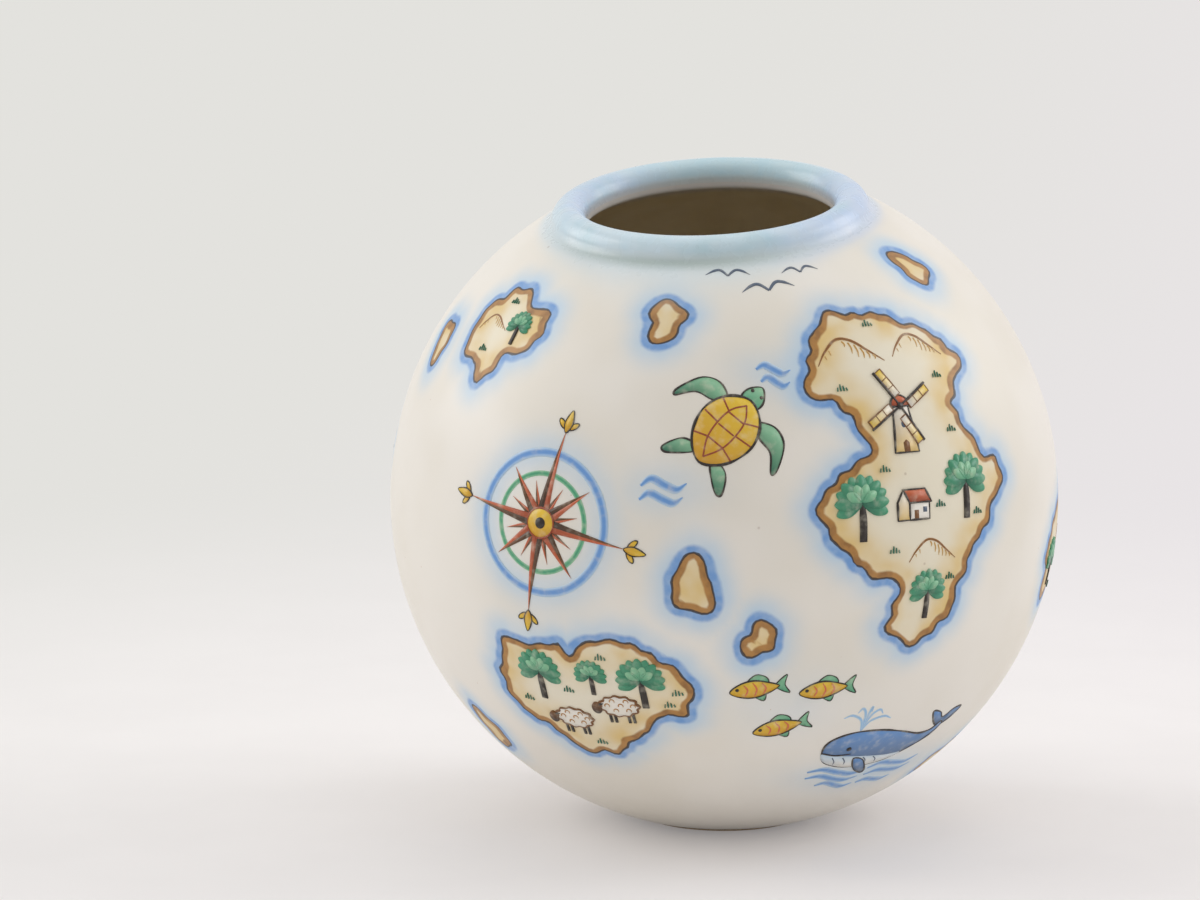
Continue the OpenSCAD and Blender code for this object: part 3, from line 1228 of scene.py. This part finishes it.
main_chart = Chart(46, 10)
low_chart = Chart(-10, -27)
top_chart = Chart(-36, 34)
left_chart = Chart(-86, -4)
right_chart = Chart(104, -10)
rose_chart = Chart(-17, 3)
turtle_chart = Chart(14, 19)
whale_chart = Chart(50, -40)
fish_chart = Chart(26, -26)
leap_chart = Chart(180, 60)

coasts = [
    (main_chart, island(MAIN_ISLAND)),
    (low_chart, island(LOW_ISLAND)),
    (top_chart, island(TOP_ISLAND)),
    (left_chart, island(mirrored(MAIN_ISLAND) * 0.78)),
    (right_chart, island(mirrored(LOW_ISLAND) * 1.05)),
]
coasts += [(Chart(longitude, latitude), islet(radius)) for longitude, latitude, radius in ISLETS]

# Chart, middle, radius, spread and strength of each wash
washes = [
    (rose_chart, (0, 0), 20, (6, 6), 0.75),
    (turtle_chart, (-17, -16), 0, (13, 7), 0.7),
    (turtle_chart, (15, 17), 0, (12, 7), 0.7),
    (whale_chart, (4, -12), 0, (24, 8), 0.9),
    (fish_chart, (0, -2), 0, (17, 12), 0.3),
    (leap_chart, (0, -6), 0, (28, 9), 0.9),
    (Chart(180, -28), (0, 0), 0, (44, 13), 0.8),
]

painted_globe(coasts, washes)
rolled_collar()
# The foot ring keeps its CAD shape
foot_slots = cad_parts["foot_ring"].data.materials
foot_slots.clear()
foot_slots.append(bare_clay())

painted("compass_rose", rose_chart, (compass_rose, (0, 0), -12))
painted(
    "turtle", turtle_chart,
    (turtle, (0, 0), -40, 1.15), (sea(2, 16), (-17, -15)), (sea(2, 12), (14, 18.5)),
)
painted("whale", whale_chart, (whale,), (sea(3, 46), (0, -9)))
scenery(
    "main_island_scenery", main_chart,
    hills=(((-12, 35), 1.15), ((11, 36), 1.0), ((7, -23), 0.9)),
    trees=(((20, -12), 1.3), ((-16, -16), 1.3), ((6, -40), 1.0)),
    tufts=((-17, 27), (16, 29), (-8, 3), (17, 13), (-6, -20), (14, -29), (10, -8), (-3, 46), (24.5, -11)),
    others=((windmill, (0, 8), 1.25), (cottage, (-1, -11), 1.5)),
)
scenery(
    "low_island_scenery", low_chart,
    hills=(),
    trees=(((-17, -3), 1.15), ((0, 1), 0.8), ((15, -3), 1.15)),
    tufts=((-8, 1), (4, 13), (25, 1), (22, -3), (-23, -5), (-2, -18)),
    others=((sheep, (-8.5, -12.5), 1.35), (sheep, (7, -6.5), 1.35)),
)
scenery(
    "top_island_scenery", top_chart,
    hills=(((-5.5, 0), 0.7),),
    trees=(((6, -4), 0.75),),
    tufts=((-5, -7), (-1, 9)),
)
scenery(
    "left_island_scenery", left_chart,
    hills=(((8, 28), 0.9), ((-8, 27), 0.8)),
    trees=(((-9, 2), 0.75), ((11, -8), 0.8), ((-15, -10), 0.7), ((-4, -29), 0.65)),
    tufts=((14, 21), (-10, 20), (0, -16), (16, -3), (-2, 34)),
    others=((cottage, (0, -6), 0.95), (sheep, (2, 12), 0.9)),
)
scenery(
    "right_island_scenery", right_chart,
    hills=(((-6, 4), 0.95),),
    trees=(((19, -5), 1.05), ((-21, -6), 1.0), ((6, -19), 0.75)),
    tufts=((8, 9), (-11, -8), (14, -10), (-3, -14)),
    others=((cottage, (1, -7), 1.35),),
)
painted("fish_shoal", fish_chart, (fish, (-10, 3), 12), (fish, (10, 2), 4), (fish, (-2, -11), 16))
painted("gulls", Chart(24, 44), (gull, (0, 0), 8, 1.1), (gull, (-11, 6), -6, 0.9), (gull, (10, 7), 12, 0.8))
painted(
    "lighthouse", BackChart(),
    (lighthouse, (0, -30), 0, 1.9), (sea(3, 70), (0, -44)),
    (gull, (-34, 34), 0, 1.3, 2), (gull, (-19, 54), 0, 1.0, 2), (gull, (32, 40), 0, 1.1, 2),
)
painted(
    "leaping_fish", leap_chart,
    (fish, (-14, 3), -28, 0.95, 2), (fish, (4, 6), 6, 0.95, 2), (fish, (20, 2), 34, 0.95, 2),
    (sea(3, 48), (0, -6)),
)
painted("starfish", Chart(-150, -22), (starfish, (0, 0), 10, 1.2), (starfish, (13, -9), 40, 0.8))
painted("sunburst", Chart(-95, 42), (sunburst,))

# The stage


def add_floor():
    """A pale floor that curves up into a backdrop."""
    bow = arc((BACKDROP - STAGE_BEND, STAGE_BEND), STAGE_BEND, -90, 0)
    profile = [(STAGE_FRONT, 0), *bow, (BACKDROP, BACKDROP_TOP)]
    points = [(x, *place) for x in (-STAGE_HALF, STAGE_HALF) for place in profile]
    count = len(profile)
    faces = [(i, count + i, count + i + 1, i + 1) for i in range(count - 1)]
    floor = add_object("floor", points, faces)
    floor.data.materials.append(floor_paper())


def add_light(name, place, size, power):
    """A soft square lamp that points at the globe."""
    lamp = bpy.data.lights.new(name, "AREA")
    lamp.size = size
    lamp.energy = power
    holder = add_linked(name, lamp)
    holder.location = place
    holder.rotation_euler = (Vector(CENTRE * MM) - Vector(place)).to_track_quat("-Z", "Y").to_euler()


def add_camera():
    """The camera of the photograph, turned round the vase and looking a little down."""
    data = bpy.data.cameras.new("camera")
    data.sensor_width = SENSOR
    data.lens = CAMERA_LENS
    camera = add_linked("camera", data)
    place = Vector((-CAMERA_LEFT, -CAMERA_AWAY, CAMERA_HEIGHT))
    camera.location = Matrix.Rotation(CAMERA_TURN, 3, "Z") @ place
    camera.rotation_euler = (math.pi / 2 - CAMERA_PITCH, 0, CAMERA_TURN)
    bpy.context.scene.camera = camera


add_floor()
for name, settings in LAMPS.items():
    add_light(name, *settings)
world = bpy.data.worlds.new("studio")
world.use_nodes = True
background = world.node_tree.nodes["Background"].inputs
background["Color"].default_value = WORLD_COLOUR
background["Strength"].default_value = WORLD_LIGHT
bpy.context.scene.world = world
add_camera()

bpy.context.scene.view_settings.view_transform = "Standard"
